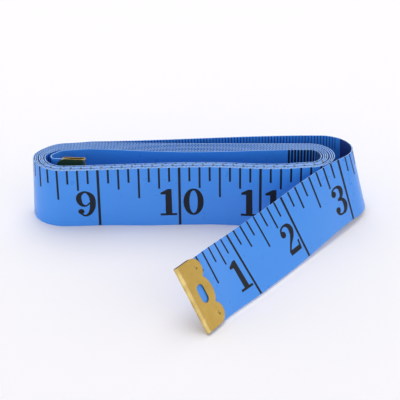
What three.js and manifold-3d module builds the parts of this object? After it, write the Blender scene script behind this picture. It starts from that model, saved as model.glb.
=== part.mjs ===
// Cloth tape measure: a coated glass-fibre tape wound flat and standing on its edge, its free end drawn
// out round the right-hand bend, with a folded sheet-metal tip crimped on each end.
// Millimetres, +Z up. X runs along the coil, the free end comes forward to -Y.
import * as THREE from "three";
import { mergeVertices } from "three/addons/utils/BufferGeometryUtils.js";
import Module from "manifold-3d";

// Tape
const TAPE_WIDTH = 20;
const TAPE_THICKNESS = 0.38;
const TAPE_BREAK = 0.3; // gap between two stretches of tape that are separate pieces

// Winding, measured to the middle of the tape
const TURNS = 7; // full turns from the inner end to the last back run
const LAYER_GAP = 0.43; // clear gap between neighbouring layers
const BEND_SPACING = 77.4; // from the centre of the left bends to that of the right bends
const LEFT_EYE_RADIUS = 4.22; // radius of the winding's eye at its round left end
const RIGHT_EYE_RADIUS = 2.47; // and at its narrower right end
const FRONT_DIP = 1.2; // how far the front layers sag inwards at mid-length
const BACK_DIP = 2.0; // the same for the innermost back layer, fading to nothing outwards
const LAST_RUN_RISE = 5.4; // how far the last back run stands off the coil at the right

// Free end
const FREE_LENGTH = 78.7; // from the bend to the outer edge of the tip
const BEND_RADIUS = 11;
const BEND_TURN = THREE.MathUtils.degToRad(132.1);
const FREE_BOW = THREE.MathUtils.degToRad(8.2); // slow turn of the free end, against the bend
const FREE_LEAN = THREE.MathUtils.degToRad(39.8); // how far the free end leans back
const LEAN_LENGTH = 76.6; // length of tape over which it leans over
const FREE_RIGHTING = THREE.MathUtils.degToRad(6.4); // how far it stands up again before the tip
const BEND_LIFT = 1.7; // how far the leaning bend rises off the surface
const LIFT_LENGTH = 63.7; // length of tape that is lifted
const FREE_CLEARANCE = 0.5; // between the free end and the coil's right end

// Inner end
const INNER_MARGIN = 0.3; // straight tape between the innermost bend and its tip
const INNER_START = 0.33; // where the straight stretch leaves the innermost left bend, as a share of it
const INNER_EASE = 0.45; // the bend tightens from this share of it on
const INNER_DRAW = 1; // and has drawn in by this much where the straight stretch starts

// Folded tips
const TIP_SHEET = 0.3; // sheet metal
const TIP_CLEARANCE = 0.2; // between the sheet and the tape inside it
const TIP_BEAD_RADIUS = 0.85; // rolled bead along the fold
const TIP_SIDE_LENGTH = 6.1; // straight sides, up to the outer lobes
const TIP_SIDE_INSET = 0.1; // how far the sides have come in there
const TIP_OVERHANG = 0.5; // how far the tip stands over the tape's upper edge
const TIP_LOBE_RADIUS = 3.3; // the two outer lobes
const TIP_CUSP = 7.9; // from the bead to the cusps beside the middle lobe
const TIP_REACH = 9.4; // and to the top of the middle lobe
const TIP_WINDOW_LENGTH = 5.6; // round-ended window, across the tape
const TIP_WINDOW_WIDTH = 2.8;
const TIP_WINDOW_CENTRE = 4.85; // from the bead
const TIP_DIMPLE_RADIUS = 0.7; // punch marks in the outer lobes
const TIP_DIMPLE_DEPTH = 0.24;
const TIP_DIMPLE_AHEAD = 1.0; // past the centre of the lobe
const TIP_DIMPLE_OUT = 0.4; // and towards its side

// Fineness
const BEND_STEPS = 16; // steps in each half-turn of the winding
const RUN_STEPS = 10; // steps along each run between the bends
const FREE_STEPS = 36;
const BOW_STEPS = 12; // steps round a small arc

// Derived sizes
const LAYER_PITCH = TAPE_THICKNESS + LAYER_GAP;
const TIP_HALF_OPENING = TAPE_THICKNESS / 2 + TIP_CLEARANCE;
const TIP_HALF_THICKNESS = TIP_HALF_OPENING + TIP_SHEET;
const TIP_WIDTH = TAPE_WIDTH + TIP_OVERHANG;
const LEAF_LENGTH = Math.max(TIP_REACH, TIP_SIDE_LENGTH + TIP_LOBE_RADIUS);
const TAPE_END_INSET = TIP_BEAD_RADIUS; // the tape stops at the bead's centre
const INNER_LENGTH = TIP_REACH + INNER_MARGIN; // from the innermost bend to the outer edge of the tip
const BEND_LENGTH = BEND_RADIUS * BEND_TURN;
const BOWED_LENGTH = FREE_LENGTH - TIP_REACH; // the tape in the tip is straight
const LAST_RUN = 4 * TURNS + 1; // the winding counts 4 stretches a turn: left bend, back, right bend, front
const UP = new THREE.Vector3(0, 0, 1);

// Colours
const TAPE_BLUE = 0x4a8be6;
const TIP_BRASS = 0xbfa055;

const wasm = await Module();
wasm.setup();

const smooth = (x) => THREE.MathUtils.smoothstep(x, 0, 1);
const clamp01 = (x) => THREE.MathUtils.clamp(x, 0, 1);
const hump = (x) => Math.sin(Math.PI * clamp01(x)) ** 2;

// The winding's middle line in plan. The eye is two round ends joined by straight runs, and each layer is
// that outline moved outwards by its share of the layer pitch.
const LEFT_CENTRE = new THREE.Vector2(0, 0);
const RIGHT_CENTRE = new THREE.Vector2(BEND_SPACING, 0);
const TAPER = Math.asin((LEFT_EYE_RADIUS - RIGHT_EYE_RADIUS) / BEND_SPACING);
const BACK_NORMAL = new THREE.Vector2(Math.sin(TAPER), Math.cos(TAPER));
const FRONT_NORMAL = new THREE.Vector2(Math.sin(TAPER), -Math.cos(TAPER));
const BACK_ANGLE = Math.PI / 2 - TAPER;

function roundEnd(centre, radius, fromAngle, sweep, share) {
  const angle = fromAngle - sweep * share;
  const normal = new THREE.Vector2(Math.cos(angle), Math.sin(angle));
  return { point: centre.clone().addScaledVector(normal, radius), normal };
}

function straightRun(from, to, normal, share) {
  return { point: from.clone().lerp(to, share), normal };
}

function eyeOutline(stretch, share) {
  const leftSweep = Math.PI + 2 * TAPER;
  const rightSweep = Math.PI - 2 * TAPER;
  const onLeft = (normal) => LEFT_CENTRE.clone().addScaledVector(normal, LEFT_EYE_RADIUS);
  const onRight = (normal) => RIGHT_CENTRE.clone().addScaledVector(normal, RIGHT_EYE_RADIUS);
  if (stretch === 0) return roundEnd(LEFT_CENTRE, LEFT_EYE_RADIUS, -BACK_ANGLE, leftSweep, share);
  if (stretch === 1) return straightRun(onLeft(BACK_NORMAL), onRight(BACK_NORMAL), BACK_NORMAL, share);
  if (stretch === 2) return roundEnd(RIGHT_CENTRE, RIGHT_EYE_RADIUS, BACK_ANGLE, rightSweep, share);
  return straightRun(onRight(FRONT_NORMAL), onLeft(FRONT_NORMAL), FRONT_NORMAL, share);
}

function windingPoint(place) {
  const stretch = Math.floor(place) % 4;
  const share = place - Math.floor(place);
  const { point, normal } = eyeOutline(stretch, share);
  let outwards = (LAYER_PITCH * place) / 4;
  if (stretch === 1) outwards -= BACK_DIP * (1 - place / LAST_RUN) * hump(share);
  if (stretch === 3) outwards -= FRONT_DIP * hump(share);
  if (place < INNER_EASE) outwards -= INNER_DRAW * ((INNER_EASE - place) / (INNER_EASE - INNER_START)) ** 2;
  return point.addScaledVector(normal, outwards);
}

// A station of the tape: the middle point of its section, the way along it and the way across it, upwards.
function station(point, along, across) {
  return { point, along: along.clone().normalize(), across: across.clone().normalize() };
}

function standing(points) {
  const last = points.length - 1;
  return points.map((p, i) => {
    const along = points[Math.min(i + 1, last)].clone().sub(points[Math.max(i - 1, 0)]);
    const middle = new THREE.Vector3(p.x, p.y, TAPE_WIDTH / 2);
    return station(middle, new THREE.Vector3(along.x, along.y, 0), UP);
  });
}

function windingPlaces(from, to) {
  const places = [from];
  for (let stretch = Math.floor(from); stretch < to; stretch++) {
    const bendSteps = stretch ? BEND_STEPS : 3 * BEND_STEPS; // the innermost bend is the tightest
    const steps = stretch % 2 ? RUN_STEPS : bendSteps;
    for (let i = 1; i <= steps; i++) {
      const place = stretch + i / steps;
      if (place > from + 0.5 / steps) places.push(place);
    }
  }
  return places;
}

// The last back run leaves the coil slowly and ends beside the bend, aheadOf past the right bends' centre.
function lastRun(aheadOf) {
  const start = windingPoint(LAST_RUN);
  const along = new THREE.Vector2(BACK_NORMAL.y, -BACK_NORMAL.x);
  const length = RIGHT_CENTRE.x + aheadOf - start.x;
  const points = [];
  for (let i = 1; i <= RUN_STEPS; i++) {
    const share = i / RUN_STEPS;
    const point = start.clone().addScaledVector(along, length * share);
    points.push(point.addScaledVector(BACK_NORMAL, LAST_RUN_RISE * smooth(share)));
  }
  return points;
}

// A point and heading part of the way round an arc of the given turn, positive to the left.
function alongArc(start, heading, turn, length, share) {
  const chordHeading = heading + (turn * share) / 2;
  const half = (turn * share) / 2;
  const chord = length * share * (half ? Math.sin(half) / half : 1);
  const way = new THREE.Vector2(Math.cos(chordHeading), Math.sin(chordHeading));
  return { point: start.clone().addScaledVector(way, chord), heading: heading + turn * share };
}

// The tape from the bend's start, at distance 0, to the outer edge of the tip. It leans over as it leaves
// the coil, stands up a little before the tip, and its lower edge lifts round the bend.
function freeStation(bendStart, distance) {
  const runHeading = -TAPER;
  const inBend = Math.min(distance / BEND_LENGTH, 1);
  let plan = alongArc(bendStart, runHeading, -BEND_TURN, BEND_LENGTH, inBend);
  const past = Math.max(distance - BEND_LENGTH, 0);
  plan = alongArc(plan.point, plan.heading, FREE_BOW, BOWED_LENGTH, Math.min(past / BOWED_LENGTH, 1));
  plan = alongArc(plan.point, plan.heading, 0, FREE_LENGTH, Math.max(past - BOWED_LENGTH, 0) / FREE_LENGTH);
  const leanShare = Math.sin((Math.PI / 2) * clamp01(distance / LEAN_LENGTH));
  const righting = (distance - LEAN_LENGTH) / (BEND_LENGTH + BOWED_LENGTH - LEAN_LENGTH);
  const lean = FREE_LEAN * leanShare - FREE_RIGHTING * smooth(righting);
  const lift = BEND_LIFT * hump(distance / LIFT_LENGTH) + TIP_BEAD_RADIUS * Math.sin(lean);
  const along = new THREE.Vector3(Math.cos(plan.heading), Math.sin(plan.heading), 0);
  const toCoil = new THREE.Vector3(along.y, -along.x, 0);
  const across = UP.clone().multiplyScalar(Math.cos(lean)).addScaledVector(toCoil, Math.sin(lean));
  const height = lift + (TAPE_WIDTH / 2) * Math.cos(lean);
  return station(new THREE.Vector3(plan.point.x, plan.point.y, height), along, across);
}

function freeStations(bendStart, from, to, steps) {
  const list = [];
  for (let i = 0; i <= steps; i++) list.push(freeStation(bendStart, from + ((to - from) * i) / steps));
  return list;
}

// How near the free end comes to the coil's right end, which is round.
const COIL_END_RADIUS = RIGHT_EYE_RADIUS + LAYER_PITCH * (TURNS - 0.5) + TAPE_THICKNESS;

function gapToCoilEnd(aheadOf) {
  const bendStart = lastRun(aheadOf).at(-1);
  let least = Infinity;
  for (const s of freeStations(bendStart, 0, BEND_LENGTH + FREE_LENGTH, FREE_STEPS)) {
    for (const side of [-1, 0, 1]) {
      const p = s.point.clone().addScaledVector(s.across, (side * TAPE_WIDTH) / 2);
      const away = Math.hypot(p.x - RIGHT_CENTRE.x, p.y - RIGHT_CENTRE.y);
      least = Math.min(least, away - COIL_END_RADIUS - TAPE_THICKNESS / 2);
    }
  }
  return least;
}

// The bend moves right until the free end just clears the coil.
function placeBend() {
  let near = 0;
  let far = BEND_SPACING;
  while (far - near > 0.01) {
    const middle = (near + far) / 2;
    if (gapToCoilEnd(middle) < FREE_CLEARANCE) near = middle;
    else far = middle;
  }
  return far;
}

// A closed strip of rectangular section through its stations.
function strip(stations) {
  const positions = [];
  const index = [];
  for (const { point, along, across } of stations) {
    const face = along.clone().cross(across);
    for (const [u, v] of [[-1, -1], [1, -1], [1, 1], [-1, 1]]) {
      const corner = point.clone().addScaledVector(across, (u * TAPE_WIDTH) / 2);
      corner.addScaledVector(face, (v * TAPE_THICKNESS) / 2);
      positions.push(corner.x, corner.y, corner.z);
    }
  }
  const quad = (a, b, c, d) => index.push(a, b, c, a, c, d);
  for (let i = 0; i + 1 < stations.length; i++) {
    for (let k = 0; k < 4; k++) {
      const next = (k + 1) % 4;
      quad(4 * i + k, 4 * i + next, 4 * i + 4 + next, 4 * i + 4 + k);
    }
  }
  const end = 4 * (stations.length - 1);
  quad(3, 2, 1, 0);
  quad(end, end + 1, end + 2, end + 3);
  const geometry = new THREE.BufferGeometry();
  geometry.setAttribute("position", new THREE.Float32BufferAttribute(positions, 3));
  geometry.setIndex(index);
  geometry.computeVertexNormals();
  return geometry;
}

function cutShort(from, to, length) {
  const direction = to.point.clone().sub(from.point).normalize();
  return { ...from, point: from.point.clone().addScaledVector(direction, length) };
}

function shortened(stations, startGap, endGap) {
  const list = [...stations];
  if (startGap) list[0] = cutShort(stations[0], stations[1], startGap);
  if (endGap) list[list.length - 1] = cutShort(stations.at(-1), stations.at(-2), endGap);
  return list;
}

// Solids for the cuts in the tips
function toSolid(geometry) {
  const bare = geometry.clone();
  for (const name of ["normal", "uv"]) bare.deleteAttribute(name);
  const merged = mergeVertices(bare, 1e-4);
  const vertProperties = new Float32Array(merged.attributes.position.array);
  const triVerts = new Uint32Array(merged.index.array);
  return new wasm.Manifold(new wasm.Mesh({ numProp: 3, vertProperties, triVerts }));
}

function toGeometry(solid) {
  const mesh = solid.getMesh();
  const geometry = new THREE.BufferGeometry();
  geometry.setAttribute("position", new THREE.BufferAttribute(mesh.vertProperties, 3));
  geometry.setIndex(new THREE.BufferAttribute(mesh.triVerts, 1));
  geometry.computeVertexNormals();
  return geometry;
}

// The folded tip lies with its bead along Y at X = 0 and its two leaves over the tape towards +X.
function foldedSection() {
  const meet = Math.asin(TIP_HALF_THICKNESS / TIP_BEAD_RADIUS);
  const section = new THREE.Shape();
  section.moveTo(LEAF_LENGTH, TIP_HALF_THICKNESS);
  section.lineTo(TIP_BEAD_RADIUS * (1 + Math.cos(meet)), TIP_HALF_THICKNESS);
  section.absarc(TIP_BEAD_RADIUS, 0, TIP_BEAD_RADIUS, meet, 2 * Math.PI - meet, false);
  section.lineTo(LEAF_LENGTH, -TIP_HALF_THICKNESS);
  section.lineTo(LEAF_LENGTH, -TIP_HALF_OPENING);
  section.absarc(TIP_BEAD_RADIUS, 0, TIP_HALF_OPENING, 1.5 * Math.PI, 0.5 * Math.PI, true);
  section.lineTo(LEAF_LENGTH, TIP_HALF_OPENING);
  const geometry = new THREE.ExtrudeGeometry(section, {
    depth: TIP_WIDTH,
    bevelEnabled: false,
    curveSegments: BOW_STEPS,
  });
  geometry.rotateX(Math.PI / 2);
  geometry.translate(0, TIP_WIDTH / 2, 0);
  return toSolid(geometry);
}

// The leaf's outline: straight sides, an outer lobe at each side and a middle lobe between two cusps.
const LOBE_CENTRE_Y = TIP_WIDTH / 2 - TIP_SIDE_INSET - TIP_LOBE_RADIUS;
const CUSP_Y = LOBE_CENTRE_Y - Math.sqrt(TIP_LOBE_RADIUS ** 2 - (TIP_CUSP - TIP_SIDE_LENGTH) ** 2);

function leafOutline() {
  const lobeTurn = Math.atan2(LOBE_CENTRE_Y - CUSP_Y, TIP_CUSP - TIP_SIDE_LENGTH);
  const rise = TIP_REACH - TIP_CUSP;
  const middleRadius = (CUSP_Y ** 2 + rise ** 2) / (2 * rise);
  const middleTurn = Math.asin(CUSP_Y / middleRadius);
  const outline = new THREE.Shape();
  outline.moveTo(0, -TIP_WIDTH / 2);
  outline.lineTo(TIP_SIDE_LENGTH, -LOBE_CENTRE_Y - TIP_LOBE_RADIUS);
  outline.absarc(TIP_SIDE_LENGTH, -LOBE_CENTRE_Y, TIP_LOBE_RADIUS, -Math.PI / 2, lobeTurn, false);
  outline.absarc(TIP_REACH - middleRadius, 0, middleRadius, -middleTurn, middleTurn, false);
  outline.absarc(TIP_SIDE_LENGTH, LOBE_CENTRE_Y, TIP_LOBE_RADIUS, -lobeTurn, Math.PI / 2, false);
  outline.lineTo(0, TIP_WIDTH / 2);
  const window = new THREE.Path();
  const windowEnd = (TIP_WINDOW_LENGTH - TIP_WINDOW_WIDTH) / 2;
  window.absarc(TIP_WINDOW_CENTRE, windowEnd, TIP_WINDOW_WIDTH / 2, 0, Math.PI, false);
  window.absarc(TIP_WINDOW_CENTRE, -windowEnd, TIP_WINDOW_WIDTH / 2, Math.PI, 2 * Math.PI, false);
  outline.holes.push(window);
  const geometry = new THREE.ExtrudeGeometry(outline, {
    depth: 4 * TIP_BEAD_RADIUS,
    bevelEnabled: false,
    curveSegments: BOW_STEPS,
  });
  geometry.translate(0, 0, -2 * TIP_BEAD_RADIUS);
  return toSolid(geometry);
}

function punchMark(side, face) {
  const height = 2 * TIP_DIMPLE_DEPTH;
  const cone = new THREE.ConeGeometry(2 * TIP_DIMPLE_RADIUS, height, BOW_STEPS);
  cone.rotateX((-face * Math.PI) / 2);
  const across = side * (LOBE_CENTRE_Y + TIP_DIMPLE_OUT);
  cone.translate(TIP_SIDE_LENGTH + TIP_DIMPLE_AHEAD, across, face * TIP_HALF_THICKNESS);
  return toSolid(cone);
}

function foldedTip() {
  let solid = foldedSection().intersect(leafOutline());
  for (const side of [-1, 1]) {
    for (const face of [-1, 1]) solid = solid.subtract(punchMark(side, face));
  }
  return toGeometry(solid);
}

function clampTip(mesh, end) {
  const inwards = end.along.clone().negate();
  const face = inwards.clone().cross(end.across);
  mesh.quaternion.setFromRotationMatrix(new THREE.Matrix4().makeBasis(inwards, end.across, face));
  mesh.position.copy(end.point).addScaledVector(end.across, TIP_OVERHANG / 2);
}

function piece(name, geometry, colour, roughness, metalness) {
  const material = new THREE.MeshStandardMaterial({ color: colour, roughness, metalness });
  const mesh = new THREE.Mesh(geometry, material);
  mesh.name = name;
  return mesh;
}

const tapePiece = (name, stations) => piece(name, strip(stations), TAPE_BLUE, 0.45, 0);

// Wound tape, from its inner end outwards
const bendAhead = placeBend();
const runPoints = lastRun(bendAhead);
const windingPoints = windingPlaces(INNER_START, LAST_RUN).map(windingPoint);
const winding = standing([...windingPoints, ...runPoints]);
const bendStart = runPoints.at(-1);
const bend = freeStations(bendStart, 0, BEND_LENGTH, BEND_STEPS);
const tapeEnd = BEND_LENGTH + FREE_LENGTH - TAPE_END_INSET;
const freeEnd = freeStations(bendStart, BEND_LENGTH, tapeEnd, FREE_STEPS);

// Inner end, straight on from the start of the winding
const innerStart = winding[0];
const innerAlong = innerStart.along.clone().negate();
const innerAt = (distance) =>
  station(innerStart.point.clone().addScaledVector(innerAlong, distance), innerAlong, UP);
const innerEnd = [innerAt(0), innerAt(INNER_LENGTH - TAPE_END_INSET)];

// The least gap of the winding to itself, on points down both faces
function leastGap(stations) {
  let travelled = 0;
  const faces = stations.map(({ point, along, across }, i) => {
    if (i) travelled += point.distanceTo(stations[i - 1].point);
    const face = along.clone().cross(across).multiplyScalar(TAPE_THICKNESS / 2);
    const edges = [-0.5, 0, 0.5].map((v) => point.clone().addScaledVector(across, v * TAPE_WIDTH));
    const sides = edges.map((edge) => [edge.clone().add(face), edge.clone().sub(face)]);
    return { travelled, points: sides.flat() };
  });
  const line = new THREE.Line3();
  const nearest = new THREE.Vector3();
  let least = Infinity;
  for (const here of faces) {
    for (let j = 1; j < faces.length; j++) {
      if (Math.abs(here.travelled - faces[j].travelled) < 2 * BEND_RADIUS) continue;
      for (let k = 0; k < here.points.length; k++) {
        line.set(faces[j - 1].points[k ^ 1], faces[j].points[k ^ 1]);
        line.closestPointToPoint(here.points[k], true, nearest);
        least = Math.min(least, nearest.distanceTo(here.points[k]));
      }
    }
  }
  return { least, travelled };
}

const wholeTape = [...innerEnd.slice(1).reverse(), ...winding, ...bend.slice(1), ...freeEnd.slice(1)];
const { least, travelled } = leastGap(wholeTape);
console.log(`least gap of the winding to itself ${least.toFixed(3)} mm`);
console.log(`tape length ${(travelled + 2 * TAPE_END_INSET).toFixed(1)} mm between the tips' outer edges`);

// Assembly
const tapeMeasure = new THREE.Group();
const outerTip = piece("outer_end_tip", foldedTip(), TIP_BRASS, 0.35, 1);
clampTip(outerTip, freeStation(bendStart, BEND_LENGTH + FREE_LENGTH));
const innerTip = piece("inner_end_tip", foldedTip(), TIP_BRASS, 0.35, 1);
clampTip(innerTip, innerAt(INNER_LENGTH));
tapeMeasure.add(
  tapePiece("tape_coil", shortened(winding, TAPE_BREAK / 2, TAPE_BREAK / 2)),
  tapePiece("tape_bend", shortened(bend, TAPE_BREAK / 2, TAPE_BREAK / 2)),
  tapePiece("tape_free_end", shortened(freeEnd, TAPE_BREAK / 2, 0)),
  tapePiece("tape_inner_end", shortened(innerEnd, TAPE_BREAK / 2, 0)),
  outerTip,
  innerTip,
);

// The origin is under the middle of the whole part, on the surface that it stands on.
tapeMeasure.updateMatrixWorld(true);
const box = new THREE.Box3().setFromObject(tapeMeasure, true);
const middle = box.getCenter(new THREE.Vector3());
tapeMeasure.position.set(-middle.x, -middle.y, -box.min.z);

// Where the joints' axes stand: at the middle of the bend's arc, and at the root of the inner end
const bendAxis = bend.reduce((sum, s) => sum.add(s.point), new THREE.Vector3()).divideScalar(bend.length);
const shown = (p) => p.clone().add(tapeMeasure.position).toArray().map((v) => v.toFixed(3)).join(", ");
console.log(`free end swings about ${shown(bendAxis)}`);
console.log(`inner end swings about ${shown(innerStart.point)}`);
console.log(`centre of the left bends ${shown(new THREE.Vector3(LEFT_CENTRE.x, LEFT_CENTRE.y, 0))}`);

export default tapeMeasure;
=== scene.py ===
from functools import lru_cache
from math import asin, cos, floor, pi, radians, sin, sqrt

import bmesh
import bpy
import numpy as np
from bpy.props import FloatProperty, FloatVectorProperty, IntProperty, PointerProperty
from mathutils import Matrix, Vector


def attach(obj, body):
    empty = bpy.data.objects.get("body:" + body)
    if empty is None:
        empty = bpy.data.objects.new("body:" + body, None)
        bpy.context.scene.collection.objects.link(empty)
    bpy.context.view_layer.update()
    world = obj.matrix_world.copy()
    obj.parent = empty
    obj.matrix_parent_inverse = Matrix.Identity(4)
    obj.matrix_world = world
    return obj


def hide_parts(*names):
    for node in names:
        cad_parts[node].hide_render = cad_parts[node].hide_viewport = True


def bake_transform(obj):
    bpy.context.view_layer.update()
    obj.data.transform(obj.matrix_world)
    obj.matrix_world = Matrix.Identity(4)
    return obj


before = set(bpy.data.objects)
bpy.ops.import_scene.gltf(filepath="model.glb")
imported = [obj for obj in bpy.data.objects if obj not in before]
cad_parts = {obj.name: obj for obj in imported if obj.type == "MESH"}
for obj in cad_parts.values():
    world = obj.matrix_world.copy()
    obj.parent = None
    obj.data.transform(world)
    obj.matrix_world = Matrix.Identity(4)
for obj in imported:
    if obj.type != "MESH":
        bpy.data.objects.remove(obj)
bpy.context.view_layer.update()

bl_info = {
    "name": "Cloth Tape Measure",
    "version": (1, 0, 0),
    "blender": (4, 5, 0),
    "location": "View3D > Sidebar > Tape",
    "description": "Dresses the wound tape measure: coated tape, printed scale, brass tips and stage",
    "category": "Object",
}

MM = 0.001
UP = np.array([0.0, 0.0, 1.0])
# the four stretches of one turn of the winding, from the inside outwards
LEFT, BACK, RIGHT, FRONT = range(4)
STRETCHES = 4
# the two faces of the tape
INCH_FACE, REVERSE_FACE = 1, -1
FLEX_LENGTH = 3 * MM  # the stretch of bend that the inner end flexes at


def length(name, description, millimetres):
    default = millimetres * MM
    return FloatProperty(name=name, description=description, default=default, unit="LENGTH", precision=5)


def turn(name, description, degrees):
    return FloatProperty(name=name, description=description, default=radians(degrees), subtype="ANGLE")


def fraction(name, description, value):
    return FloatProperty(name=name, description=description, default=value, min=0, max=1, subtype="FACTOR")


def linear(hex_colour):
    """An sRGB hex colour as linear red, green and blue."""
    channels = [int(hex_colour[i:i + 2], 16) / 255 for i in (1, 3, 5)]
    return [c / 12.92 if c <= 0.04045 else ((c + 0.055) / 1.055) ** 2.4 for c in channels]


def colour(name, description, hex_colour):
    return FloatVectorProperty(
        name=name, description=description, default=linear(hex_colour), subtype="COLOR", min=0, max=1
    )


class TapeSizes(bpy.types.PropertyGroup):
    """The tape and how it is wound, measured to the middle of its thickness"""

    width: length("Width", "Width of the tape", 20)
    thickness: length("Thickness", "Thickness of the coated tape", 0.38)
    edge_round: length("Edge round", "Bevel along the cut edges", 0.1)
    turns: IntProperty(name="Turns", description="Full turns of the winding", default=7)
    layer_pitch: length("Layer pitch", "Spacing of the layers in the solids, kept by the outermost", 0.81)
    back_pitch: length("Back pitch", "Spacing of the layers along the back", 0.68)
    front_pitch: length("Front pitch", "Spacing of the layers where they lie together along the front", 0.4)
    front_gap: length("Front gap", "Opening between the three bunches that the front layers lie in", 0.35)
    bend_spread: length("Bend spread", "How much further apart the layers stand round the right bend", 0.1)
    bend_spacing: length("Bend spacing", "Between the centres of the left and right bends", 77.4)
    left_eye_radius: length("Left eye radius", "Radius of the eye at its left end", 4.22)
    right_eye_radius: length("Right eye radius", "Radius of the eye at its right end", 2.47)
    front_dip: length("Front dip", "How far the front layers sag inwards", 1.2)
    front_swell: length("Front swell", "How far the front layers stand forward near the right bend", 1.0)
    front_lean: turn("Front lean", "How far the front layers lean, with their lower edges forward", 4)
    left_draw: length("Left draw", "How far the left bends are drawn in where they meet the back", 1.2)
    left_lean: turn("Left lean", "How far the left bends lean, with their lower edges outward", 2.5)
    back_dip: length("Back dip", "How far the innermost back layer sags inwards", 2.0)
    last_run_rise: length("Last run rise", "How far the last back run stands off the coil", 5.4)
    last_run_ahead: length("Last run ahead", "How far that run goes past the right bends' centre", 5.074)
    left_centre: FloatVectorProperty(
        name="Left centre",
        description="Centre of the left bends on the floor",
        default=(-42.868 * MM, 27.793 * MM),
        size=2,
        unit="LENGTH",
    )


class FreeEndSizes(bpy.types.PropertyGroup):
    """The free end, from the bend that it leaves the coil by"""

    free_length: length("Free length", "From the bend to the outer edge of the tip", 78.7)
    bend_radius: length("Bend radius", "Radius of the bend", 11)
    bend_turn: turn("Bend turn", "How far the bend turns", 132.1)
    bow: turn("Bow", "Slow turn of the free end, against the bend", 8.2)
    lean: turn("Lean", "How far the free end leans back", 39.8)
    lean_length: length("Lean length", "Length of tape over which it leans over", 76.6)
    righting: turn("Righting", "How far it stands up again before the tip", 6.4)
    bend_lift: length("Bend lift", "How far the leaning bend rises off the surface", 1.7)
    lift_length: length("Lift length", "Length of tape that is lifted", 63.7)
    bead_radius: length("Bead radius", "Radius of the bead along the tip's fold", 0.85)
    tip_reach: length("Tip reach", "How far a tip reaches over the tape, which is straight there", 9.4)
    inner_length: length("Inner length", "Straight stretch at the inner end, with its tip", 9.7)
    inner_start: fraction("Inner start", "Where it leaves the innermost left bend, as a share of it", 0.33)
    inner_ease: fraction("Inner ease", "The innermost bend tightens from this share of it on", 0.45)
    inner_draw: length("Inner draw", "How far it has drawn in where the inner end starts", 1.0)


class PrintSizes(bpy.types.PropertyGroup):
    """The printed scales"""

    ink_height: length("Ink height", "How far the ink stands off the coat", 0.02)
    inch: length("Inch", "Spacing of the inch lines", 25.4)
    inch_line: length("Inch line", "Width of an inch line", 0.8)
    fraction_line: length("Fraction line", "Width of the lines between inches", 0.62)
    half_tick: length("Half tick", "Length of a half-inch tick", 10.3)
    quarter_tick: length("Quarter tick", "Length of a quarter-inch tick", 7.1)
    eighth_tick: length("Eighth tick", "Length of an eighth-inch tick", 4.8)
    numeral_height: length("Numeral height", "Height of the inch numerals", 9.2)
    numeral_base: length("Numeral base", "Height of the numerals' foot above the lower edge", 3.5)
    numeral_gap: length("Numeral gap", "Between a numeral's first digit and its inch line", 0.9)
    millimetre_line: length("Millimetre line", "Width of a line on the reverse", 0.27)
    millimetre_tick: length("Millimetre tick", "Length of a millimetre tick", 4.5)
    half_centimetre_tick: length("Half centimetre tick", "Length of a five-millimetre tick", 6.2)
    centimetre_tick: length("Centimetre tick", "Length of a centimetre tick", 8.2)
    reverse_numeral: length("Reverse numeral", "Height of the centimetre numerals", 4.4)


class Finishes(bpy.types.PropertyGroup):
    """Colours of the object and of the stage"""

    tape_blue: colour("Tape blue", "Coat of the tape", "#3D90EE")
    # paler partly for the fibre core and partly as a painted highlight on the upper edges
    edge_blue: colour("Edge blue", "Cut edge of the tape", "#B4D3FA")
    ink: colour("Ink", "Printed lines and numerals", "#0B0F19")
    # this navy also colours the dark sheet inside the bend, which is painted shade
    reverse_ink: colour("Reverse ink", "Printed lines on the reverse, and painted shade inside the bend", "#1B3675")
    brass: colour("Brass", "Leaves of the folded tips", "#BC9D54")
    brass_dull: colour("Dull brass", "Tarnished places on the leaves", "#AF8F49")
    # paler brass for the beads' outer sides: a painted highlight
    brass_rubbed: colour("Rubbed brass", "Beads along the folds, paler as a painted highlight", "#E2CB8A")
    floor: colour("Floor", "Pale floor", "#FAF8FC")


# The route of the tape


def smooth(x):
    return x * x * (3 - 2 * x)


def clipped(x):
    return min(max(x, 0.0), 1.0)


def ramp(start, end, x):
    """Rises softly from 0 at start to 1 at end."""
    return smooth(clipped((x - start) / (end - start)))


def hump(x):
    """Rises from 0 to 1 halfway and falls back to 0."""
    return sin(pi * clipped(x)) ** 2


def along_arc(start, heading, turning, arc_length, share):
    """Point and heading part of the way round an arc, positive to the left."""
    half = turning * share / 2
    chord = arc_length * share * (sin(half) / half if half else 1)
    way = np.array([cos(heading + half), sin(heading + half)])
    return start + chord * way, heading + turning * share


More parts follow.
